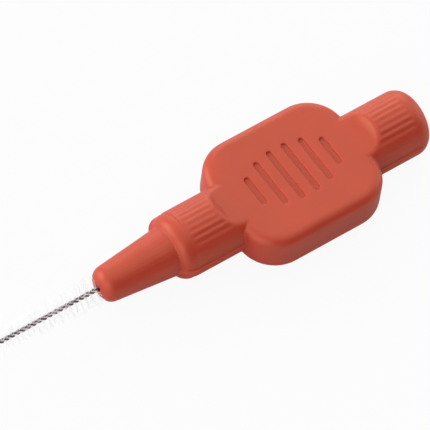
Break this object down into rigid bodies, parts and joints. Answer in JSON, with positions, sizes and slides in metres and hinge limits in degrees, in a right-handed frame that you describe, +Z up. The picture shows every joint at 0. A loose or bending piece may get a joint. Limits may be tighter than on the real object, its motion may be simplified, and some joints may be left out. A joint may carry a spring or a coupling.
{
  "type": "interdental brush",
  "caption": "Interdental brush: flat thumb pad on a ribbed round handle, tapered nose, and a twisted wire that carries short nylon bristles.",
  "frame": {"origin": "on the surface that the barrels lie on, under the middle of the overall length", "axes": "+X along the axis from the wire's tip to the handle's rear end, +Z up, square to the thumb pad"},
  "size_m": [0.05, 0.0136, 0.007],
  "materials": {
    "handle": "satin moulded polypropylene",
    "wire": "drawn stainless steel wire",
    "bristle": "translucent white nylon"
  },
  "bodies": {
    "root": {"handle": "handle", "wire": "wire", "bristle_row_01": "bristle", "bristle_row_02": "bristle", "bristle_row_03": "bristle", "bristle_row_04": "bristle", "bristle_row_05": "bristle", "bristle_row_06": "bristle", "bristle_row_07": "bristle", "bristle_row_08": "bristle", "bristle_row_09": "bristle", "bristle_row_10": "bristle", "bristle_row_11": "bristle", "bristle_row_12": "bristle", "bristle_row_13": "bristle", "bristle_row_14": "bristle", "bristle_row_15": "bristle", "bristle_row_16": "bristle", "bristle_row_17": "bristle", "bristle_row_18": "bristle"}
  },
  "joints": []
}
